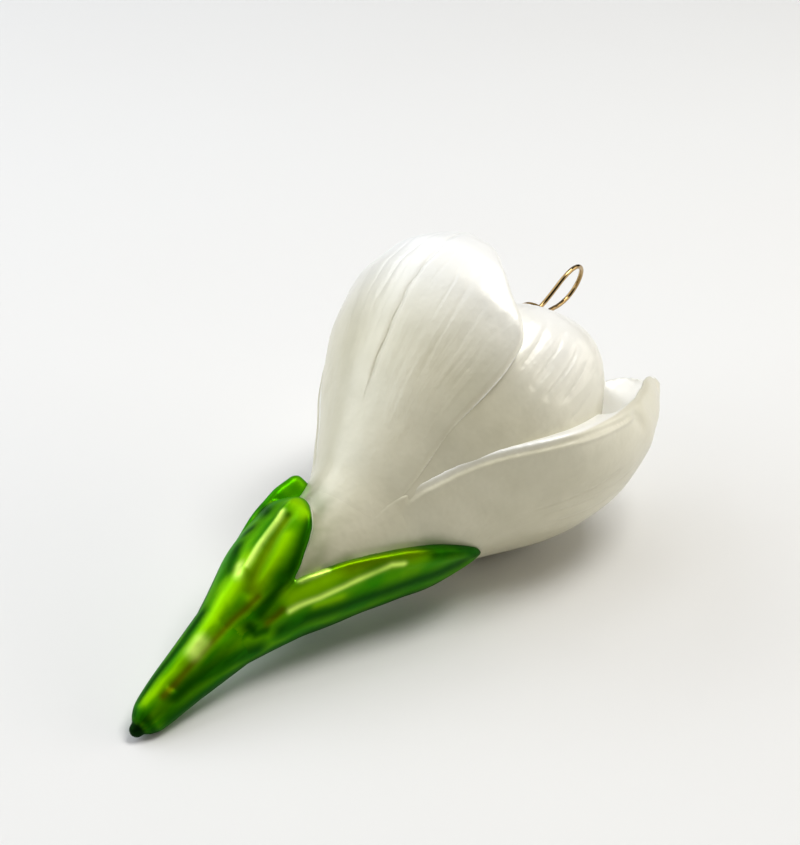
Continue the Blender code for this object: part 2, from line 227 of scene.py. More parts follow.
def stem_coordinates(points):
    """Height, radius and azimuth in degrees of points, about the leaning middle line."""
    lean = along(LEAN, points[:, 2])
    x = points[:, 0] - lean * math.cos(LEAN_AZIMUTH)
    y = points[:, 1] - lean * math.sin(LEAN_AZIMUTH)
    return points[:, 2], np.hypot(x, y), np.degrees(np.arctan2(y, x))


def apart(azimuth, other):
    """Signed angle in degrees from one azimuth to another."""
    return (azimuth - other + 180) % 360 - 180


def distance_to(line, height, radius, azimuth):
    """Distance in millimetres over the surface to a line of (height, azimuth) points."""
    nearest = np.full(len(height), 1e9)
    for (h0, a0), (h1, a1) in zip(line[:-1], line[1:]):
        x = radius * np.radians(apart(azimuth, a0))
        y = height - h0
        dx = radius * math.radians(a1 - a0)
        dy = h1 - h0
        t = np.clip((x * dx + y * dy) / np.maximum(dx * dx + dy * dy, 1e-9), 0, 1)
        nearest = np.minimum(nearest, np.hypot(x - t * dx, y - t * dy))
    return nearest


def pressed(item, relief, lift=0.0):
    """Presses grooves and ridges into a skin, each with a depth, a width and (height, azimuth) points."""
    height, radius, azimuth = stem_coordinates(vertex_array(item.data))
    for depth, width, line in relief:
        lift = lift + depth * np.exp(-(distance_to(line, height, radius, azimuth) / width) ** 2)
    points = round_stem(height, radius + lift, azimuth)
    item.data.vertices.foreach_set("co", points.ravel())
    return stem_coordinates(points)


def add_field(item, name, values):
    """Writes one number for each point, to be read by its name."""
    item.data.attributes.new(name, "FLOAT", "POINT").data.foreach_set("value", values.astype(np.float32))


STEM_RELIEF = [
    (0.42, 1.2, [(47, -14), (42.2, -7.9), (39.1, -4.9), (36.2, -2.2), (33.7, 1.1), (31.4, 3)]),
    (0.2, 1.5, [(31.4, 3), (26, 0), (20, 8), (14, 16)]),
    (-0.35, 1.3, [(43, -2), (39.7, 1.2), (36.2, 6.9), (33.5, 12.4), (31.5, 16.2), (29, 22)]),
    (0.25, 1.4, [(42, 6), (39.2, 11.8), (36.2, 19.5), (33.9, 23.4), (31.7, 26.6)]),
    (-0.4, 1.2, [(34, 38), (29.3, 33.9), (26.6, 33), (23.5, 28.4), (20.2, 27), (16.7, 25.4), (13, 27.7),
                 (9, 36)]),
    (0.2, 1.8, [(30, 57), (27, 60), (24, 62), (20, 66)]),
    (0.45, 1.3, [(29, 68), (33.2, 71.4), (36.5, 75), (40.8, 76.3), (45.2, 77.6), (49.6, 78.3), (51.5, 82.5),
                 (55.4, 89.2), (61.3, 102), (65, 113)]),
]
nub_turns = np.radians(np.linspace(4, 176, 24))
nub = turned_grid(list(zip(NUB_HEIGHT - NUB_RADIUS * np.cos(nub_turns), NUB_RADIUS * np.sin(nub_turns))))
stem, stem_owner = melted("stem_and_bracts", BRACTS, [body_grid(*STEM_BODY, SUNK_UNDER_PETALS), nub],
                          STEM_VOXEL, STEM_SOFTENING)
stem_at = pressed(stem, STEM_RELIEF)

# How far inside each bract's left and right edge the green ends, in millimetres: mostly it runs over
# the edge. Each stroke of the brush has a tint, a half width in millimetres and (height, azimuth) points.
PAINT_INSET = {"near_bract": (-0.5, 0.1), "front_bract": (-0.7, -1.0), "back_bract": (-1.5, -1.5),
               "web_between_bracts": (-2.0, -2.0)}
STEM_GREEN = 24.0
FADE = 9.0
NUB_COVER = (1.3, 0.5)
OUTLINE_STEPS = 40
# Tints: deep green, mostly painted shade on lower faces, margins and sides; lime painted light on the upper
# faces; olive; brown; painted highlights on the keels and ridges; and bare, where the white is thin
TINTS = ("deep", "lime_painted_light", "olive", "brown", "painted_highlight", "bare")
STROKES = [
    ("bare", 3.2, [(51, -40), (50, -15), (48.5, 5), (45, 20), (41.5, 35), (38.5, 46), (37, 50)]),
    ("bare", 1.6, [(38, 50), (41, 58), (45, 64)]),
    ("painted_highlight", 0.5, [(43.5, -10), (42.2, -7.9), (39.1, -4.9), (36.2, -2.2), (33.7, 1.1), (32, 2.5)]),
    ("painted_highlight", 0.9, [(31.6, -6), (30.4, -2)]),
    ("lime_painted_light", 2.0, [(33, -1), (29, 3), (26, 2)]),
    ("deep", 1.5, [(44.4, -46), (42.9, -28)]),
    ("deep", 1.6, [(34.5, -28), (30.7, -18)]),
    ("deep", 1.2, [(39, -30), (38, -34)]),
    ("olive", 1.4, [(42, -1.5), (39.7, 1.8), (36.2, 7.5), (33.5, 12.4), (31.5, 16.2), (29.8, 22)]),
    ("deep", 0.6, [(43.5, -4), (41, -1), (38.5, 3), (36.5, 7)]),
    ("lime_painted_light", 1.0, [(40, 11), (39.2, 12.8), (36.2, 20), (33.9, 23.4), (31.7, 26.6), (28.5, 30)]),
    ("deep", 1.4, [(44.5, 15), (41.9, 21), (38.8, 30), (35.8, 39), (32.5, 44), (30, 47), (27.5, 50)]),
    ("lime_painted_light", 1.2, [(46.6, -10), (46.2, -3.1), (44.9, 8)]),
    ("brown", 0.7, [(29.3, 34.5), (26.6, 33.5), (23.5, 30), (20.2, 30), (16.7, 30), (13, 31), (10, 33),
                  (6.5, 31)]),
    ("lime_painted_light", 1.6, [(26, -2), (22.6, 3), (19.2, 9), (16.1, 14)]),
    ("lime_painted_light", 1.1, [(16.1, 15), (13.1, 16), (9.6, 12), (6.4, 6), (4.2, -3)]),
    ("deep", 1.4, [(4, -30), (10, -22), (16, -18), (22, -26)]),
    ("painted_highlight", 1.1, [(17.6, 13), (15.4, 16)]),
    ("deep", 1.3, [(24.8, 54.5), (24.9, 69), (26.6, 73)]),
    ("brown", 0.8, [(30.5, 63.5), (28.8, 64.9), (27.6, 65.7)]),
    ("deep", 1.4, [(2.2, -90), (1.8, -8), (1.9, 25.5), (1.7, 67), (2.2, 150)]),
    ("deep", 1.2, [(6, -60), (14, -52), (22, -48), (30, -55)]),
    ("deep", 3.2, [(5.2, 95), (14.1, 114), (24, 133), (34, 130), (46, 135), (58, 135)]),
    ("lime_painted_light", 1.8, [(33, 60), (38, 64), (44.4, 67)]),
    ("olive", 2.4, [(44, 64), (50.4, 73), (54, 78)]),
    ("deep", 1.6, [(57, 88), (63, 102), (67, 118)]),
    ("deep", 1.2, [(44, -70), (50, -66), (54.5, -58)]),
    ("painted_highlight", 0.5, [(36, 51.9), (38.4, 54.4), (40.5, 56)]),
    ("deep", 0.7, [(41.5, 55.2), (46.4, 59.5), (50.2, 69), (53, 74), (57, 86)]),
    ("painted_highlight", 0.55, [(31.5, 70), (33.2, 71.4), (36.5, 75), (40.8, 76.3), (45.2, 77.6), (49.6, 78.3),
                    (51.5, 82.5)]),
    ("deep", 2.3, [(29, 88), (33.2, 92), (37.5, 97), (46.2, 103), (54.8, 107), (62, 112)]),
    ("lime_painted_light", 0.9, [(35.8, 82.6), (39.9, 86.6)]),
    ("deep", 2.4, [(8, 55), (14, 66), (20, 80), (24, 95)]),
]


def outline_distance(spec, height, radius, azimuth, inset):
    """Distance in millimetres from a bract's painted outline: above 0 inside it, below 0 outside."""
    foot, tip = spec["width"][0][0], spec["width"][-1][0]
    rows = foot + (tip - foot) * np.sin(np.linspace(0, math.pi / 2, OUTLINE_STEPS))
    reach = np.radians(along(spec["width"], rows)) * along(spec["face"], rows)
    sides = []
    for side, less in ((-1, inset[0]), (1, inset[1])):
        kept = np.degrees(np.maximum(reach - less, 0.05) / along(spec["face"], rows))
        sides.append(list(zip(rows, along(spec["middle"], rows) + side * kept)))
    apart_by = distance_to(sides[0] + sides[1][::-1], height, radius, azimuth)
    across = apart(azimuth, along(spec["middle"], height))
    low, high = (np.interp(height, *np.transpose(side)) - along(spec["middle"], height) for side in sides)
    inside = (across > low) & (across < high) & (height < tip) & (height > foot)
    return np.where(inside, apart_by, -apart_by)


def add_tint(item, tint, at):
    """Adds the field of one tint: 1 in the middle of its strokes, 0 away from them."""
    strength = np.zeros(len(at[0]))
    for name, width, line in STROKES:
        if name == tint:
            strength = np.maximum(strength, np.exp(-(distance_to(line, *at) / width) ** 2))
    add_field(item, tint, strength)


def painted(item, at):
    """Adds the fields that the lacquers follow: the green's edge, and how strong each tint is."""
    height, radius, azimuth = at
    edge = STEM_GREEN - height
    for spec in BRACTS:
        edge = np.maximum(edge, outline_distance(spec, height, radius, azimuth, PAINT_INSET[spec["name"]]))
    add_field(item, "paint_edge", np.clip(edge, -FADE, FADE))
    for tint in TINTS:
        add_tint(item, tint, at)
    add_field(item, "nub", ease(*NUB_COVER, height))


painted(stem, stem_at)


def add(tree, kind, inputs=None, out=0, **settings):
    """Adds a node and gives one of its outputs; each input is a value or another node's output."""
    node = tree.nodes.new(kind)
    for name, value in settings.items():
        setattr(node, name, value)
    for key, value in (inputs or {}).items():
        if isinstance(value, bpy.types.NodeSocket):
            tree.links.new(value, node.inputs[key])
        else:
            node.inputs[key].default_value = value
    return node.outputs[out] if node.outputs else node


def linear(code):
    """Linear colour of an sRGB hex value."""
    values = [int(code[i:i + 2], 16) / 255 for i in (1, 3, 5)]
    return tuple(v / 12.92 if v <= 0.04045 else ((v + 0.055) / 1.055) ** 2.4 for v in values) + (1.0,)


def new_material(name):
    """A material with no nodes yet."""
    surface = bpy.data.materials.new(name)
    surface.use_nodes = True
    surface.node_tree.nodes.clear()
    return surface


# Translucent green lacquer, brushed over silvered glass, with light and shade painted into its colour:
# highlights on the keels and ridges, lime painted light on the upper faces, and painted shade in deep
# green on the lower faces, margins and sides, with deep green also round the nub's collar. Olive lies in
# the hollows and brown along the valleys. Beyond its edge the petals' white shows.
MOTTLING, BRUSH_SIZE = 5 * MM, 3.5
BRUSH_DRAWN_OUT = (0.3, 0.5, 1.0)
green_skin = new_material("green_lacquered_silvered_glass")
tree = green_skin.node_tree
spot = add(tree, "ShaderNodeTexCoord", out="Object")
map_at = add(tree, "ShaderNodeUVMap", uv_map="blade_map")
mottle = add(tree, "ShaderNodeTexNoise", {"Vector": spot, "Scale": 1 / MOTTLING, "Detail": 2.0}, out="Fac")
along_stem = add(tree, "ShaderNodeMapping", {"Vector": map_at, "Scale": BRUSH_DRAWN_OUT})
brush = add(tree, "ShaderNodeTexNoise", {"Vector": along_stem, "Scale": 1 / BRUSH_SIZE, "Detail": 1.5},
            out="Fac")
paint_edge = add(tree, "ShaderNodeAttribute", attribute_name="paint_edge", out="Fac")
ragged = add(tree, "ShaderNodeMath", {0: mottle, 1: 0.5}, operation="SUBTRACT")
paint_edge = add(tree, "ShaderNodeMath", {0: ragged, 1: 0.5, 2: paint_edge}, operation="MULTIPLY_ADD")
is_green = add(tree, "ShaderNodeMapRange", {"Value": paint_edge, "From Min": -0.1, "From Max": 0.12},
               interpolation_type="SMOOTHSTEP")
thick = add(tree, "ShaderNodeMapRange", {"Value": brush, "From Min": 0.35, "From Max": 0.65})
green = add(tree, "ShaderNodeMix", {0: thick, 6: linear("#368C00"), 7: linear("#64A800")}, out=2,
            data_type="RGBA")
# Painted light and shade over the green: painted highlights, lime painted light and deep-green painted shade
for tint, code, most in (("lime_painted_light", "#96D600", 0.88), ("deep", "#084300", 0.94),
                         ("olive", "#648600", 0.9), ("brown", "#545000", 0.8),
                         ("painted_highlight", "#DCFF70", 0.92)):
    stroke = add(tree, "ShaderNodeAttribute", attribute_name=tint, out="Fac")
    cover = add(tree, "ShaderNodeMapRange", {"Value": brush, "From Min": -0.1, "From Max": 0.45,
                                             "To Max": most})
    stroke = add(tree, "ShaderNodeMath", {0: stroke, 1: cover}, operation="MULTIPLY")
    green = add(tree, "ShaderNodeMix", {0: stroke, 6: green, 7: linear(code)}, out=2, data_type="RGBA")
pooled = add(tree, "ShaderNodeMapRange", {"Value": paint_edge, "From Min": 0.8, "From Max": 0.05,
                                          "To Max": 0.7})
green = add(tree, "ShaderNodeMix", {0: pooled, 6: green, 7: linear("#1C5800")}, out=2, data_type="RGBA")
sealed = add(tree, "ShaderNodeAttribute", attribute_name="nub", out="Fac")
green = add(tree, "ShaderNodeMix", {0: sealed, 6: green, 7: linear("#082206")}, out=2, data_type="RGBA")
colour = add(tree, "ShaderNodeMix", {0: is_green, 6: linear("#D8D8C6"), 7: green}, out=2, data_type="RGBA")
metallic = add(tree, "ShaderNodeMath", {0: is_green, 1: 0.5}, operation="MULTIPLY")
roughness = add(tree, "ShaderNodeMath", {0: brush, 1: 0.15, 2: 0.3}, operation="MULTIPLY_ADD")
bump = add(tree, "ShaderNodeBump", {"Height": mottle, "Strength": 0.5, "Distance": 0.3 * MM})
shader = add(tree, "ShaderNodeBsdfPrincipled", {
    "Base Color": colour, "Metallic": metallic, "Roughness": roughness, "Normal": bump, "IOR": 1.5,
    "Specular IOR Level": 0.06, "Specular Tint": linear("#7AD000")})
add(tree, "ShaderNodeOutputMaterial", {"Surface": shader})


def lay_down(points):
    """From standing on the stem, in millimetres, to lying on the table, in the frame's metres."""
    x, y, z = points[:, 0], points[:, 1], points[:, 2]
    forward = z * math.cos(TILT) - x * math.sin(TILT)
    raised = x * math.cos(TILT) + z * math.sin(TILT)
    return (np.stack([forward, -y, raised], axis=1) + np.array(TABLE_MIDDLE)) * MM


def laid_piece(item):
    """Lays a piece down on the table and gives its points."""
    points = lay_down(vertex_array(item.data))
    item.data.vertices.foreach_set("co", points.ravel())
    item.data.update()
    return points


# Radius that azimuths are measured out at, and the gap between the maps of two blades
GIRTH, GIRTH_APART = 28.0, 61.0


def mapped(item, owner, at):
    """Adds the map that streaks follow: millimetres round the flower and along it, apart for each blade."""
    mesh = item.data
    corner_vertex = np.empty(len(mesh.loops), int)
    mesh.loops.foreach_get("vertex_index", corner_vertex)
    first_corner = np.empty(len(mesh.polygons), int)
    mesh.polygons.foreach_get("loop_start", first_corner)
    corner_count = np.empty(len(mesh.polygons), int)
    mesh.polygons.foreach_get("loop_total", corner_count)
    turn = np.radians(at[2][corner_vertex])
    first_turn = np.repeat(np.radians(at[2][corner_vertex[first_corner]]), corner_count)
    turn = first_turn + (turn - first_turn + math.pi) % (2 * math.pi) - math.pi
    face_owner = np.repeat(owner[corner_vertex[first_corner]], corner_count)
    spread = np.stack([turn * GIRTH + face_owner * GIRTH_APART, at[0][corner_vertex]], axis=1)
    mesh.uv_layers.new(name="blade_map").data.foreach_set("uv", spread.ravel().astype(np.float32))


def finished(item, owner, at):
    """Maps a skin, lays it down on the table, hides the glass flower part it stands in for and attaches it
    to the root.
    """
    mapped(item, owner, at)
    laid = laid_piece(item)
    laid[:, 2] = np.maximum(laid[:, 2], 0)
    item.data.vertices.foreach_set("co", laid.ravel())
    item.data.update()
    item.data.shade_smooth()
    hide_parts("glass_flower")
    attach(item, "root")


stem.data.materials.append(green_skin)
finished(stem, stem_owner, stem_at)

# Outer petals: three long petals of the same blown skin, with pearl lacquer and moulded ribs, which
# stand free at the mouth. The front one curls up from the table and has a flat lip along its margin.
OUTER_FACE = [(48, 9.9), (52, 11.5), (57, 13.35), (62, 16.3), (67, 19.3), (72, 22.7), (77, 25.8), (82, 28.7),
              (87, 30.8)]
OUTER_PETALS = [
    dict(name="top", middle=[(48, -3), (58, -5), (70, -9.4), (82, -10), (92, -9.6), (98.5, -8.4),
                             (102, -8.4), (105.5, -11)],
         face=OUTER_FACE + [(92, 32.2), (97, 32.2), (101, 30.6), (105.5, 27.2)],
         width=[(48, 52), (58, 52), (64, 51.5), (74, 51.5), (82, 51), (86, 49.8), (89, 47.8), (92, 42.4),
                (95.5, 32.2), (98.5, 24.8), (101.5, 18.4), (104, 11), (105.1, 4.6), (105.5, 0)],
         curl=[(48, 0), (80, 0.5), (92, 1.2), (105, 1.2)], twist=LEVEL, rim=2.6),
    dict(name="front", middle=[(48, 118), (94, 119), (102, 117), (107, 115.5), (112, 116), (116, 118.5),
                               (119.6, 120)],
         face=OUTER_FACE + [(92, 32.0), (97, 32.6), (103, 32.2), (109, 30.3), (115, 27.2), (119.6, 25.3)],
         width=[(48, 69), (58, 69), (66, 62), (73, 54.5), (81, 46.5), (86, 42.5), (95.7, 34.5), (102, 27),
                (107, 20), (112, 13.8), (116, 9.2), (118.6, 4.5), (119.6, 0)],
         curl=[(48, 0.2), (57, 0.2), (63, 0), (75, 0.1), (86, 0.9), (96, 3.0), (105, 5.4),
               (112, 6.2), (116, 4.2), (119.6, 1.0)],
         twist=[(75, 0), (96, -1.6), (105, -3.2), (112, -3.8), (116, -2.6), (119.6, 0)], rim=2.4,
         squareness=4.0),
    dict(name="back", middle=[(48, 242), (116, 241)],
         face=OUTER_FACE + [(92, 32.0), (97, 32.3), (103, 31.4), (109, 29.0), (115.5, 24.6)],
         width=[(48, 60), (58, 60), (66, 53), (73, 48), (82, 43), (90, 38), (98, 32), (104, 25), (109, 17),
                (113, 9), (114.8, 4), (115.5, 0)],
         curl=[(48, 0), (75, 0), (86, 0.45), (96, 2.4), (108, 4.2), (115, 1.5)], twist=LEVEL, rim=2.4),
]
SUNK_UNDER_BRACTS = [(0, 0.5), (30, 0.5), (34, 0), (200, 0)]
OUTER_VOXELS = {"top": 0.36, "front": 0.31, "back": 0.44}
PETAL_SOFTENING = 2
OUTER_SOFTENING = {"top": PETAL_SOFTENING, "front": 6, "back": PETAL_SOFTENING}
OUTER_BODY = (30, 105.6, 160)
LEAST_HALF = 2.0
# How far the lip stands out, how far it lies under the face, its thickness, and the bead along it
LIP_REACH = [(59.2, 0), (60.2, 1.2), (62, 1.7), (90, 1.7), (112, 1.3), (118.4, 0)]
LIP_STEP, LIP_RIM = 0.5, 1.5
LIP_BEAD, LIP_BEAD_IN, LIP_BEAD_WIDTH, LIP_BEAD_FROM = 0.25, 0.55, 0.5, (60, 63)
# Small web between the lip's foot and the body
WEB_UNDER_LIP = dict(name="web_under_lip", middle=[(46, 47), (60, 46)],
                     face=[(46, 9.6), (48, 10.0), (52, 11.45), (57, 13.3), (60, 14.8)],
                     width=[(46, 9), (56, 8), (58.5, 5), (60, 0)], curl=LEVEL, twist=LEVEL, rim=1.6)
# Pressed grooves and ridges have a depth, a width and (height, azimuth) points. Creases, which are
# finer, are listed in the same way.
PETAL_RELIEF = {
    "top": [(-0.18, 0.5, [(104.5, -9.5), (99.9, -7), (94.3, -5.8), (89.2, -6.8), (86.1, -7.9), (83.1, -7.3),
                          (77.2, -7.4), (71.4, -7.9)]),
            (-0.09, 0.6, [(100, -14), (92, -17), (84, -19.5)]),
            (-0.06, 0.6, [(98, -22), (90, -25), (82, -27)]),
            (-0.05, 0.7, [(91, 12), (82, 14), (74, 15)]),
            (-0.06, 0.7, [(89, 20), (82, 21.5), (76, 21)]),
            (-0.04, 0.7, [(86, 27.5), (80, 29), (73, 28)]),
            (0.25, 0.5, [(50.4, -28), (49.9, -14), (49.5, -4), (48.4, 3.1), (46.6, 10.5)])],
    "front": [(-0.4, 1.3, [(100.7, 90.5), (101.6, 95)])],
    "back": [],
    "inner": [(-0.16, 0.7, [(97, 40.5), (92, 42.5), (87, 43.5)]),
              (-0.2, 0.7, [(98, 47.5), (92, 50), (86, 52)]),
              (-0.2, 0.7, [(98, 55), (92, 57), (87, 58.5)]),
              (-0.14, 0.7, [(97, 62), (90, 64)]), (-0.1, 0.7, [(96, 70), (89, 72)])],
}
CREASES = {
    "top": [(0.15, 0.4, [(105, -9.8), (99.9, -7), (94.3, -5.8), (91, -6.6), (89.2, -6.4), (86.1, -7.9),
                         (83.1, -7), (80.4, -7.6), (77.2, -7.4), (74.6, -8.2), (71.4, -7.9), (66, -9.2)]),
            (0.06, 0.5, [(100, -14), (92, -17), (84, -19.5)]),
            (0.05, 0.5, [(97, -11), (90, -13.5), (80, -14), (74, -15)]),
            (0.05, 0.5, [(98, -22), (90, -25), (82, -27)]),
            (0.05, 0.5, [(94, -31), (84, -34), (74, -33)]),
            (0.06, 0.5, [(99, -1), (93, 0.5), (87, 0)]),
            (0.05, 0.5, [(97, 4.5), (90, 7), (80, 8)]),
            (0.025, 0.6, [(92, 12), (82, 14), (72, 15)]),
            (0.02, 0.5, [(88, 16.5), (80, 18), (74, 18)]),
            (0.03, 0.6, [(91, 20.5), (82, 22), (75, 21.5)]),
            (0.02, 0.5, [(86, 24.5), (80, 25.5), (72, 25)]),
            (0.025, 0.6, [(89, 28), (80, 29.5), (74, 28)])],
    "front": [(0.1, 0.6, [(97, 101), (85, 99), (73, 98)]),
              (0.1, 0.6, [(100, 106), (88, 105), (76, 103)]),
              (0.08, 0.6, [(98, 112), (86, 112), (74, 110)])],
    "back": [],
    "inner": [(0.09, 0.6, [(99, 39), (94, 41.5), (85, 43.5)]),
              (0.11, 0.6, [(100, 46), (94, 49), (84, 52)]),
              (0.11, 0.6, [(100, 54), (94, 56.5), (84, 59)]),
              (0.08, 0.6, [(99, 61), (94, 63), (86, 65)]),
              (0.06, 0.6, [(98, 69.5), (90, 72), (86, 73)])],
}
CREASE_FADE, CREASE_END = 3.0, 5.0
# Painted light on the pearl: heights over which it grows towards the mouth, azimuths over which it fades off
# the upper side, its least share there, and its share on the inner faces by depth under the face and height
PAINTED_LIGHT_HEIGHTS, PAINTED_LIGHT_ASIDE, LEAST_PAINTED_LIGHT = (76, 101), (95, 30), 0.2
INSIDE_PAINTED_LIGHT, INSIDE_DEPTHS, INSIDE_HEIGHTS = 0.85, (0.3, 0.8), (58, 66)
RIBS_GROW, RIBS_WANE = (56, 80), (101, 108)
HOLLOW_SIZE, HOLLOW_DEPTH = 8.0, 0.35


def lip_of(spec):
    """Thinner blade just under a petal's face, which stands out beyond its near margin as a flat lip."""
    heights = np.linspace(LIP_REACH[0][0], LIP_REACH[-1][0], 40)
    face = along(spec["face"], heights) - LIP_STEP
    half_reach = np.degrees(along(LIP_REACH, heights) / face) / 2
    width = along(spec["width"], heights) + half_reach
    width[-1] = 0
    middle = along(spec["middle"], heights) - half_reach
    return dict(spec, name="lip", face=list(zip(heights, face)), width=list(zip(heights, width)),
                middle=list(zip(heights, middle)), rim=LIP_RIM, squareness=ROUND)


def add_creases(item, lines, at):
    """Adds the fields of fine moulded creases: distance to the nearest, in half widths, and its depth."""
    nearest = np.full(len(at[0]), CREASE_FADE)
    depth_there = np.zeros(len(at[0]))
    for depth, width, line in lines:
        off = distance_to(line, *at) / width
        top, foot = line[0][0], line[-1][0]
        fading = ease(foot, foot + CREASE_END, at[0]) * ease(top, top - CREASE_END, at[0])
        depth_there = np.where(off < nearest, depth * fading, depth_there)
        nearest = np.minimum(nearest, off)
    add_field(item, "crease_apart", nearest)
    add_field(item, "crease_depth", depth_there)


def add_painted_light(item, at, inside=0.0):
    """Adds the field of painted light on the pearl lacquer, which grows towards the mouth's upper side;
    inside gives its share on the inner faces.
    """
    height, _, azimuth = at
    aside = np.abs(apart(azimuth, 0))
    upper = ease(*PAINTED_LIGHT_HEIGHTS, height) * (LEAST_PAINTED_LIGHT + (1 - LEAST_PAINTED_LIGHT) * ease(*PAINTED_LIGHT_ASIDE, aside))
    add_field(item, "pearl_painted_light", np.maximum(upper, inside))


def new_tree(name, sizes):
    """Geometry Nodes tree with a mesh, a material and named sizes as its inputs."""
    tree = bpy.data.node_groups.new(name, "GeometryNodeTree")
    tree.interface.new_socket("Geometry", in_out="INPUT", socket_type="NodeSocketGeometry")
    tree.interface.new_socket("Geometry", in_out="OUTPUT", socket_type="NodeSocketGeometry")
    for size in sizes:
        tree.interface.new_socket(size, in_out="INPUT", socket_type="NodeSocketFloat")
    tree.interface.new_socket("Material", in_out="INPUT", socket_type="NodeSocketMaterial")
    return tree


def finish_tree(tree, start, shape):
    """Ends a tree with real geometry and its material."""
    real = add(tree, "GeometryNodeRealizeInstances", {"Geometry": shape})
    coated = add(tree, "GeometryNodeSetMaterial", {"Geometry": real, "Material": start.outputs["Material"]})
    add(tree, "NodeGroupOutput", {"Geometry": coated})


def set_tree(item, tree, sizes, material):
    """Puts a tree on a piece, with its sizes and its material."""
    step = item.modifiers.new(tree.name, "NODES")
    step.node_group = tree
    for socket in tree.interface.items_tree:
        if socket.in_out == "INPUT" and socket.name in sizes:
            step[socket.identifier] = float(sizes[socket.name])
        if socket.in_out == "INPUT" and socket.name == "Material":
            step[socket.identifier] = material


def run_tree(item, tree, sizes, material):
    """Runs a tree on a piece and turns the result into a plain mesh."""
    set_tree(item, tree, sizes, material)
    made_plain(item)


# Pearl white lacquer over silvered glass: opaque, creamy and glossy, with a soft sheen. It is thin
# beside the bracts, where the silver shows through as a grey gleam, and fine streaks run along it.
PEARL_SHEEN = 0.08
STREAK_SIZE, STREAK_DRAWN_OUT, STREAK_DEPTH = 1.2, (1.0, 0.06, 1.0), 0.1
PEBBLE_SIZE, PEBBLE_DEPTH, BARE_PEBBLE_DEPTH = 1.8 * MM, 0.09, 0.01
GRAIN_SIZE = 1.2 * MM
pearl_skin = new_material("pearl_white_lacquered_glass")
tree = pearl_skin.node_tree
spot = add(tree, "ShaderNodeTexCoord", out="Object")
map_at = add(tree, "ShaderNodeUVMap", uv_map="blade_map")
mottle = add(tree, "ShaderNodeTexNoise", {"Vector": spot, "Scale": 1 / MOTTLING, "Detail": 2.0}, out="Fac")
grain = add(tree, "ShaderNodeTexNoise", {"Vector": spot, "Scale": 1 / GRAIN_SIZE, "Detail": 2.0}, out="Fac")
bare = add(tree, "ShaderNodeAttribute", attribute_name="bare", out="Fac")
cloud = add(tree, "ShaderNodeMapRange", {"Value": mottle, "From Min": 0.3, "From Max": 0.7})
cream = add(tree, "ShaderNodeMix", {0: cloud, 6: linear("#D8D3B9"), 7: linear("#D1CCB1")}, out=2,
            data_type="RGBA")
# The cream is lifted towards white by painted light on the mouth's upper side and on the inner faces
pearl_painted_light = add(tree, "ShaderNodeAttribute", attribute_name="pearl_painted_light", out="Fac")
white = add(tree, "ShaderNodeMix", {0: pearl_painted_light, 6: cream, 7: linear("#F9F9F6")}, out=2, data_type="RGBA")
patches = add(tree, "ShaderNodeMapRange", {"Value": mottle, "From Min": 0.3, "From Max": 0.6, "To Min": 0.4})
thin = add(tree, "ShaderNodeMath", {0: bare, 1: patches}, operation="MULTIPLY")
white = add(tree, "ShaderNodeMix", {0: thin, 6: white, 7: linear("#A2A482")}, out=2, data_type="RGBA")
metallic = add(tree, "ShaderNodeMath", {0: thin, 1: 0.25, 2: PEARL_SHEEN}, operation="MULTIPLY_ADD")
roughness = add(tree, "ShaderNodeMath", {0: grain, 1: 0.1, 2: 0.38}, operation="MULTIPLY_ADD")
drawn_out = add(tree, "ShaderNodeMapping", {"Vector": map_at, "Scale": STREAK_DRAWN_OUT})
streaks = add(tree, "ShaderNodeTexNoise", {"Vector": drawn_out, "Scale": 1 / STREAK_SIZE, "Detail": 2.0},
              out="Fac")
pebbles = add(tree, "ShaderNodeTexNoise", {"Vector": spot, "Scale": 1 / PEBBLE_SIZE, "Detail": 1.0},
              out="Fac")
pebble_depth = add(tree, "ShaderNodeMapRange", {"Value": bare, "To Min": PEBBLE_DEPTH,
                                                "To Max": BARE_PEBBLE_DEPTH})
veined = add(tree, "ShaderNodeAttribute", attribute_name="vein_share", out="Fac")
streaks = add(tree, "ShaderNodeMath", {0: streaks, 1: veined}, operation="MULTIPLY")
streaks = add(tree, "ShaderNodeMath", {0: streaks, 1: STREAK_DEPTH}, operation="MULTIPLY")
relief = add(tree, "ShaderNodeMath", {0: pebbles, 1: pebble_depth, 2: streaks}, operation="MULTIPLY_ADD")
crease_apart = add(tree, "ShaderNodeAttribute", attribute_name="crease_apart", out="Fac")
crease_depth = add(tree, "ShaderNodeAttribute", attribute_name="crease_depth", out="Fac")
crease = add(tree, "ShaderNodeMapRange", {"Value": crease_apart, "From Min": 1.0, "From Max": 0.0,
                                          "To Max": -1.0}, interpolation_type="SMOOTHSTEP")
relief = add(tree, "ShaderNodeMath", {0: crease, 1: crease_depth, 2: relief}, operation="MULTIPLY_ADD")
bump = add(tree, "ShaderNodeBump", {"Height": relief, "Strength": 1.0, "Distance": MM})
shader = add(tree, "ShaderNodeBsdfPrincipled", {
    "Base Color": white, "Metallic": metallic, "Roughness": roughness, "Normal": bump, "IOR": 1.5,
    "Coat Weight": 0.5, "Coat Roughness": 0.22, "Coat IOR": 1.5})
add(tree, "ShaderNodeOutputMaterial", {"Surface": shader})

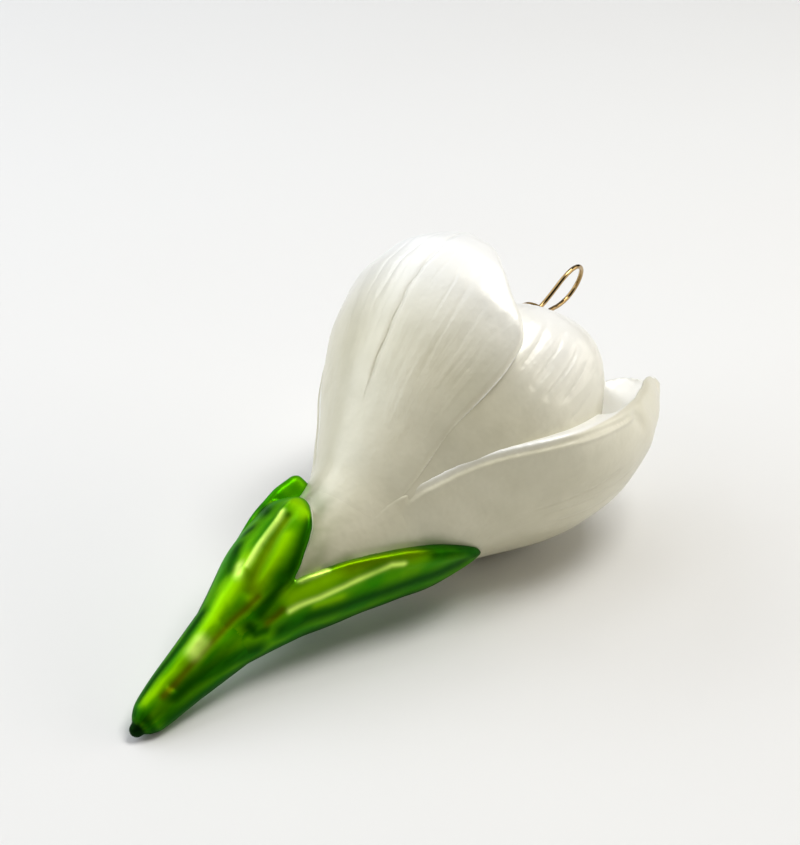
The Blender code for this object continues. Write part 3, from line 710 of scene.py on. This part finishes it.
# Ribs run along the stem's line and are deepest near the mouth; wide hollows lie between them
vein_tree = new_tree("moulded_veins", ["Vein spacing", "Vein depth", "Hollow size", "Hollow depth"])
start = add(vein_tree, "NodeGroupInput").node
across, along_it, share = (
    add(vein_tree, "GeometryNodeInputNamedAttribute", {"Name": name}, data_type="FLOAT")
    for name in ("vein_across", "vein_along", "vein_share"))
push = 0.0
for size, depth, length in (("Vein spacing", "Vein depth", 9.0), ("Hollow size", "Hollow depth", 1.6)):
    x = add(vein_tree, "ShaderNodeMath", {0: across, 1: start.outputs[size]}, operation="DIVIDE")
    y = add(vein_tree, "ShaderNodeMath", {0: along_it, 1: start.outputs[size]}, operation="DIVIDE")
    y = add(vein_tree, "ShaderNodeMath", {0: y, 1: length}, operation="DIVIDE")
    at = add(vein_tree, "ShaderNodeCombineXYZ", {"X": x, "Y": y})
    wave = add(vein_tree, "ShaderNodeTexNoise", {"Vector": at, "Scale": 1.0, "Detail": 1.0}, out="Fac")
    level = add(vein_tree, "ShaderNodeMath", {0: wave, 1: 0.5}, operation="SUBTRACT")
    push = add(vein_tree, "ShaderNodeMath", {0: level, 1: start.outputs[depth], 2: push},
               operation="MULTIPLY_ADD")
push = add(vein_tree, "ShaderNodeMath", {0: push, 1: share}, operation="MULTIPLY")
facing = add(vein_tree, "GeometryNodeInputNormal")
push = add(vein_tree, "ShaderNodeVectorMath", {0: facing, "Scale": push}, operation="SCALE")
moved = add(vein_tree, "GeometryNodeSetPosition", {"Geometry": start.outputs["Geometry"], "Offset": push})
finish_tree(vein_tree, start, moved)


def veined_skin(item, owner, at, spacing, depth):
    """Presses ribs and hollows into a petal skin."""
    height, _, azimuth = at
    add_field(item, "vein_across", np.radians(azimuth) * GIRTH + owner * GIRTH_APART)
    add_field(item, "vein_along", height)
    add_field(item, "vein_share", ease(*RIBS_GROW, height) * (1 - 0.5 * ease(*RIBS_WANE, height)))
    run_tree(item, vein_tree, {"Vein spacing": spacing, "Vein depth": depth, "Hollow size": HOLLOW_SIZE,
                               "Hollow depth": HOLLOW_DEPTH}, pearl_skin)


for number, spec in enumerate(OUTER_PETALS):
    name = spec["name"]
    bodies = [body_grid(*OUTER_BODY, SUNK_UNDER_BRACTS)] if name == "back" else []
    blades = [spec, lip_of(spec), WEB_UNDER_LIP] if name == "front" else [spec]
    outer, outer_owner = melted(f"outer_petal_{name}", blades, bodies, OUTER_VOXELS[name],
                                OUTER_SOFTENING[name])
    height, radius, azimuth = stem_coordinates(vertex_array(outer.data))
    half = np.maximum(along(spec["width"], height), LEAST_HALF)
    v = apart(azimuth, along(spec["middle"], height)) / half
    depth = (along(spec["face"], height) - along(spec["curl"], height) * v ** 2
             + along(spec["twist"], height) * v - radius)
    bead = 0.0
    if name == "front":
        from_margin = np.radians(half * (1 - np.abs(v))) * radius
        bead = LIP_BEAD * np.exp(-((from_margin - LIP_BEAD_IN) / LIP_BEAD_WIDTH) ** 2)
        bead = bead * ease(*LIP_BEAD_FROM, height) * (outer_owner == 0)
    outer_owner = np.full_like(outer_owner, number)
    outer_at = pressed(outer, PETAL_RELIEF[name], bead)
    add_tint(outer, "bare", outer_at)
    add_creases(outer, CREASES[name], outer_at)
    # Painted light on the petal's inner faces
    inside = INSIDE_PAINTED_LIGHT * ease(*INSIDE_DEPTHS, depth) * ease(*INSIDE_HEIGHTS, height)
    add_painted_light(outer, outer_at, inside)
    veined_skin(outer, outer_owner, outer_at, spacing=1.9, depth=0.1)
    finished(outer, outer_owner, outer_at)

# Inner petals: three shorter petals that close over the flower's mouth, with the short neck between
# them, again of the same skin and lacquer
INNER_FACE = [(54, 11.4), (60, 14.6), (66, 17.9), (72, 21.9), (80, 25.6), (88, 27.7), (95, 28.1),
              (100, 27.2), (104, 24.5), (107, 19.7), (109, 15.0), (110.4, 11.0)]
INNER_WIDTH = [(54, 50), (90, 50), (97, 43), (102, 33.5), (106, 23.5), (109, 12.5), (110.4, 0)]
INNER_CURL = [(54, 0), (88, 0.3), (95, 1.4), (100, 4.0), (104, 5.0), (107, 4.2), (109, 2.2), (110.4, 0.2)]
INNER_SHAPE = dict(face=INNER_FACE, width=INNER_WIDTH, curl=INNER_CURL, rim=2.2)
INNER_PETALS = [
    dict(INNER_SHAPE, name="inner_front",
         middle=[(54, 62), (82, 62), (90, 60), (100, 58.5), (104, 61), (110.4, 71)],
         width=[(54, 50), (80, 50), (88, 47.2), (93, 43.2), (97, 38.8), (102, 31), (106, 22.5), (109, 12.3),
                (110.4, 0)],
         curl=[(54, 0), (86, 0.3), (90, 1.1), (95, 2.8), (100, 5.2), (104, 6.0), (107, 4.6), (109, 2.2),
               (110.4, 0.2)],
         twist=[(96, 0), (102, 0.5), (109, 0.5), (110.4, 0)]),
    dict(INNER_SHAPE, name="inner_bottom", middle=[(54, 181), (110, 181)], twist=LEVEL),
    dict(INNER_SHAPE, name="inner_back", middle=[(54, -60), (110, -62)], twist=LEVEL),
]
NECK_RADIUS, NECK_FOOT, NECK_END = 4.1, 103.0, 112.2
SUNK_UNDER_OUTER = [(0, 0.5), (200, 0.5)]
INNER_VOXEL = 0.45
INNER_BODY = (58, 105.6, 100)
neck = turned_grid([(h, NECK_RADIUS) for h in np.linspace(NECK_FOOT, NECK_END, 19)])
inner, inner_owner = melted("inner_petals", INNER_PETALS, [body_grid(*INNER_BODY, SUNK_UNDER_OUTER), neck],
                            INNER_VOXEL, PETAL_SOFTENING)
inner_at = pressed(inner, PETAL_RELIEF["inner"])
add_tint(inner, "bare", inner_at)
add_creases(inner, CREASES["inner"], inner_at)
add_painted_light(inner, inner_at)
veined_skin(inner, inner_owner, inner_at, spacing=2.4, depth=0.3)
finished(inner, inner_owner, inner_at)

# Cap: thin brass-coloured sheet metal, stamped to a cup and crimped round its skirt, pushed over the
# glass neck. Two holes in its top let the wire's legs through.
CAP_FLUTES, FLUTE_STEPS, FLUTE_DEPTH = 16, 12, 0.22
CAP_RINGS = 60
# Radius, height and how strongly the crimps press there, from the inside round the rim to the top
CAP_PROFILE = [(4.1, 113.0, 0), (4.55, 112.6, 0), (4.62, 110.4, 0.5), (4.66, 108.0, 1), (4.78, 107.9, 1),
               (4.9, 108.0, 1), (4.86, 110.4, 0.8), (4.82, 112.0, 0.5), (4.72, 112.9, 0.1), (4.4, 113.35, 0),
               (3.6, 113.6, 0), (2.4, 114.05, 0), (1.0, 114.25, 0), (0.05, 114.3, 0)]
cap_at = np.linspace(0, len(CAP_PROFILE) - 1, CAP_RINGS)
cap_radius, cap_height, cap_crimp = (
    along([(i, row[k]) for i, row in enumerate(CAP_PROFILE)], cap_at) for k in range(3))
cap_sides = CAP_FLUTES * FLUTE_STEPS
cap_turn = np.arange(cap_sides) * 360 / cap_sides
cap_grid = round_stem(cap_height[:, None] + np.zeros(cap_sides), cap_radius[:, None], cap_turn)
cap = new_piece("crimped_cap", cap_grid.reshape(-1, 3), ring_faces(len(cap_at), cap_sides))
add_field(cap, "crimp", np.repeat(cap_crimp, cap_sides))
add_field(cap, "turn", np.tile(np.radians(cap_turn), len(cap_at)))

# Gold-plated sheet: bright, with faint rubbing marks that dull it in places
gold_cap = new_material("gold_plated_sheet_metal")
tree = gold_cap.node_tree
spot = add(tree, "ShaderNodeTexCoord", out="Object")
worn = add(tree, "ShaderNodeTexNoise", {"Vector": spot, "Scale": 1 / (1.4 * MM), "Detail": 3.0}, out="Fac")
gold = add(tree, "ShaderNodeMix", {0: worn, 6: linear("#D9B567"), 7: linear("#B98A3C")}, out=2,
           data_type="RGBA")
dull = add(tree, "ShaderNodeMath", {0: worn, 1: 0.15, 2: 0.2}, operation="MULTIPLY_ADD")
shader = add(tree, "ShaderNodeBsdfPrincipled", {"Base Color": gold, "Metallic": 1.0, "Roughness": dull})
add(tree, "ShaderNodeOutputMaterial", {"Surface": shader})

cap_tree = new_tree("cap_crimps", ["Flutes", "Flute depth"])
start = add(cap_tree, "NodeGroupInput").node
crimp = add(cap_tree, "GeometryNodeInputNamedAttribute", {"Name": "crimp"}, data_type="FLOAT")
turn = add(cap_tree, "GeometryNodeInputNamedAttribute", {"Name": "turn"}, data_type="FLOAT")
angle = add(cap_tree, "ShaderNodeMath", {0: turn, 1: start.outputs["Flutes"]}, operation="MULTIPLY")
wave = add(cap_tree, "ShaderNodeMath", {0: angle}, operation="COSINE")
half = add(cap_tree, "ShaderNodeMath", {0: wave, 1: 0.5, 2: 0.5}, operation="MULTIPLY_ADD")
depth = add(cap_tree, "ShaderNodeMath", {0: half, 1: start.outputs["Flute depth"]}, operation="MULTIPLY")
amount = add(cap_tree, "ShaderNodeMath", {0: depth, 1: crimp}, operation="MULTIPLY")
turn_x = add(cap_tree, "ShaderNodeMath", {0: turn}, operation="COSINE")
turn_y = add(cap_tree, "ShaderNodeMath", {0: turn}, operation="SINE")
outwards = add(cap_tree, "ShaderNodeCombineXYZ", {"X": turn_x, "Y": turn_y})
push = add(cap_tree, "ShaderNodeVectorMath", {0: outwards, "Scale": amount}, operation="SCALE")
moved = add(cap_tree, "GeometryNodeSetPosition", {"Geometry": start.outputs["Geometry"], "Offset": push})
finish_tree(cap_tree, start, moved)
run_tree(cap, cap_tree, {"Flutes": CAP_FLUTES, "Flute depth": FLUTE_DEPTH}, gold_cap)
laid_piece(cap)
cap.data.shade_smooth()
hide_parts("cap")
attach(cap, "root")

# Hanger: one gold-plated spring wire, bent to a loop, whose legs go through the cap's holes and
# spread inside the neck to hold it
WIRE_RADIUS = 0.45
WIRE_PLANE = math.radians(18)
WIRE_OFFSET = 1.2
WIRE_OFFSET_AZIMUTH = math.radians(-66)
# One leg, as distances from the loop's middle line and heights
LEG = [(6.5, 97.0), (4.0, 100.0), (3.0, 102.4), (1.85, 105.0), (1.75, 108.0), (1.75, 111.3), (1.75, 114.3),
       (2.1, 116.5), (3.2, 119.4), (4.2, 121.8)]
LOOP_RADIUS, LOOP_CENTRE, LOOP_START = 4.45, 123.7, 5
BEND_FROM, BEND, BEND_AZIMUTH = 113.0, 0.03, math.radians(130)
WIRE_STEPS, WIRE_SIDES, ARC_KNOTS = 6, 20, 9


def wire_route():
    """Middle of the wire from foot to foot, as (sideways, height) in its own plane."""
    turns = np.radians(np.linspace(LOOP_START, 90, ARC_KNOTS))
    arc = [(LOOP_RADIUS * math.cos(t), LOOP_CENTRE + LOOP_RADIUS * math.sin(t)) for t in turns]
    right = np.array(LEG + arc)
    left = right[-2::-1] * (-1, 1)
    return np.concatenate([right, left])


flat_route = wire_route()
sideways = np.array([math.cos(WIRE_PLANE), math.sin(WIRE_PLANE), 0])
offset = WIRE_OFFSET * np.array([math.cos(WIRE_OFFSET_AZIMUTH), math.sin(WIRE_OFFSET_AZIMUTH), 0])
route = offset + flat_route[:, :1] * sideways + flat_route[:, 1:] * np.array([0, 0, 1])
bent_over = np.maximum(flat_route[:, 1:] - BEND_FROM, 0) * BEND
route = route + bent_over * np.array([math.cos(BEND_AZIMUTH), math.sin(BEND_AZIMUTH), 0])
lane = bpy.data.curves.new("hanger_route", "CURVE")
lane.dimensions = "3D"
spline = lane.splines.new("BEZIER")
spline.bezier_points.add(len(route) - 1)
for knot, place in zip(spline.bezier_points, route):
    knot.co = place
    knot.handle_left_type = knot.handle_right_type = "AUTO"
spline.resolution_u = WIRE_STEPS
hanger = bpy.data.objects.new("hanger_route", lane)
bpy.context.scene.collection.objects.link(hanger)

# Gold-plated spring wire: drawn smooth, so that it shows sharp light and dark bands
gold_wire = new_material("gold_plated_spring_wire")
tree = gold_wire.node_tree
spot = add(tree, "ShaderNodeTexCoord", out="Object")
worn = add(tree, "ShaderNodeTexNoise", {"Vector": spot, "Scale": 1 / (1.1 * MM), "Detail": 2.0}, out="Fac")
gold = add(tree, "ShaderNodeMix", {0: worn, 6: linear("#C4A878"), 7: linear("#94784A")}, out=2,
           data_type="RGBA")
dull = add(tree, "ShaderNodeMath", {0: worn, 1: 0.1, 2: 0.12}, operation="MULTIPLY_ADD")
shader = add(tree, "ShaderNodeBsdfPrincipled", {"Base Color": gold, "Metallic": 1.0, "Roughness": dull})
add(tree, "ShaderNodeOutputMaterial", {"Surface": shader})

wire_tree = new_tree("wire_along_route", ["Wire radius"])
start = add(wire_tree, "NodeGroupInput").node
round_wire = add(wire_tree, "GeometryNodeCurvePrimitiveCircle",
                 {"Resolution": WIRE_SIDES, "Radius": start.outputs["Wire radius"]})
swept = add(wire_tree, "GeometryNodeCurveToMesh",
            {"Curve": start.outputs["Geometry"], "Profile Curve": round_wire, "Fill Caps": True})
smooth = add(wire_tree, "GeometryNodeSetShadeSmooth", {"Geometry": swept})
finish_tree(wire_tree, start, smooth)
wire = bpy.data.objects.new("hanger_loop", bpy.data.meshes.new("hanger_loop"))
bpy.context.scene.collection.objects.link(wire)
set_tree(hanger, wire_tree, {"Wire radius": WIRE_RADIUS}, gold_wire)
graph = bpy.context.evaluated_depsgraph_get()
wire.data = bpy.data.meshes.new_from_object(hanger.evaluated_get(graph))
bpy.data.objects.remove(hanger, do_unlink=True)
laid_piece(wire)
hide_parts("hanger_wire")
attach(wire, "root")

# Table: a wide sheet of matt white card
FLOOR_SIZE = 3.0
CARD_CLOUD = 1 / 9
edge_at = FLOOR_SIZE / 2
floor = new_piece("floor", [(-edge_at, -edge_at, 0), (edge_at, -edge_at, 0), (edge_at, edge_at, 0),
                            (-edge_at, edge_at, 0)], [(0, 1, 2, 3)])
card = new_material("matt_white_card")
tree = card.node_tree
spot = add(tree, "ShaderNodeTexCoord", out="Object")
cloudy = add(tree, "ShaderNodeTexNoise", {"Vector": spot, "Scale": 1 / CARD_CLOUD, "Detail": 3.0}, out="Fac")
paper = add(tree, "ShaderNodeMix", {0: cloudy, 6: linear("#E4E4E2"), 7: linear("#E2E1DE")}, out=2,
            data_type="RGBA")
shader = add(tree, "ShaderNodeBsdfPrincipled", {"Base Color": paper, "Roughness": 0.8})
add(tree, "ShaderNodeOutputMaterial", {"Surface": shader})
floor.data.materials.append(card)

# Studio light: soft white panels at the flower's left and right, behind it and above it, and four
# faint ones right overhead. The photographer's side is dark. Each panel has its azimuth, elevation,
# size in metres, power in watts and colour.
FLOWER_MIDDLE = Vector((0.012, 0.0, 0.03))
PANEL_DISTANCE = 0.8
ROOF_DISTANCE, ROOF_PANEL, ROOF_SHIFT, ROOF_POWER = 0.6, (0.16, 0.16), 0.13, 0.06
ROOF = Vector((-0.24, 0.16, 0.95)).normalized() * ROOF_DISTANCE
WALL, SCREEN, LID = (0.75, 0.42), (0.6, 0.42), (0.35, 0.35)
PANELS = [("left_low", -138, 18, WALL, 2.7, "#EFF5FF"), ("left_high", -138, 50, WALL, 0.94, "#E9F1FF"),
          ("rear_low", 132, 18, WALL, 0.3, "#FFFFFF"), ("right_low", 42, 18, WALL, 2.36, "#FFFAF1"),
          ("behind", 177, 35, SCREEN, 1.79, "#F4F8FF"), ("left", -93, 35, SCREEN, 0.4, "#FFEFE1"),
          ("right", 87, 35, SCREEN, 0.17, "#FFFFFF"), ("top_left", -138, 68, LID, 0.2, "#F4F6FF"),
          ("top_rear", 132, 68, LID, 0.59, "#FDFDFF"), ("top_right", 42, 68, LID, 4.36, "#FFFEFC")]
panels = []
for corner in range(4):
    turn = math.radians(45 + 90 * corner)
    shift = Vector((math.cos(turn), math.sin(turn), 0)) * ROOF_SHIFT
    panels.append((f"roof_{corner}", ROOF + shift, ROOF_PANEL, ROOF_POWER, "#FFFCF0"))
for name, azimuth, elevation, size, power, code in PANELS:
    turn, climb = math.radians(azimuth), math.radians(elevation)
    towards = Vector((math.sin(turn) * math.cos(climb), -math.cos(turn) * math.cos(climb), math.sin(climb)))
    panels.append((name, towards * PANEL_DISTANCE, size, power, code))
for name, place, size, power, code in panels:
    lamp = bpy.data.lights.new(name, "AREA")
    lamp.shape = "RECTANGLE"
    lamp.size, lamp.size_y = size
    lamp.energy = power
    lamp.color = linear(code)[:3]
    stand = bpy.data.objects.new(name, lamp)
    stand.location = FLOWER_MIDDLE + place
    stand.rotation_euler = place.to_track_quat("Z", "Y").to_euler()
    stand.visible_camera = False
    bpy.context.scene.collection.objects.link(stand)
world = bpy.data.worlds.new("dim_studio")
world.use_nodes = True
world.node_tree.nodes["Background"].inputs["Strength"].default_value = 0.0
bpy.context.scene.world = world
bpy.context.scene.view_settings.view_transform = "Standard"

# Camera, at the photographer's place. Its lens was found in pixels of the photo.
SENSOR, PHOTO_HEIGHT, LENS_IN_PIXELS = 36, 845, 1999.3673
CAMERA_AT = (-0.22516173, -0.20541649, 0.21699782)
AZIMUTH, ELEVATION, ROLL = (math.radians(a) for a in (-48.2881, 30.89907, -0.92196))
LENS = LENS_IN_PIXELS * SENSOR / PHOTO_HEIGHT
back = Vector((math.sin(AZIMUTH) * math.cos(ELEVATION), -math.cos(AZIMUTH) * math.cos(ELEVATION),
               math.sin(ELEVATION)))
level = Vector((math.cos(AZIMUTH), math.sin(AZIMUTH), 0))
right = level * math.cos(ROLL) + back.cross(level) * math.sin(ROLL)
up = back.cross(right)
seen = bpy.data.cameras.new("camera")
seen.sensor_fit = "VERTICAL"
seen.sensor_height = seen.sensor_width = SENSOR
seen.lens = LENS
seen.clip_start = 0.01
camera = bpy.data.objects.new("camera", seen)
stance = Matrix((right, up, back)).transposed().to_4x4()
stance.translation = CAMERA_AT
camera.matrix_world = stance
bpy.context.scene.collection.objects.link(camera)
bpy.context.scene.camera = camera
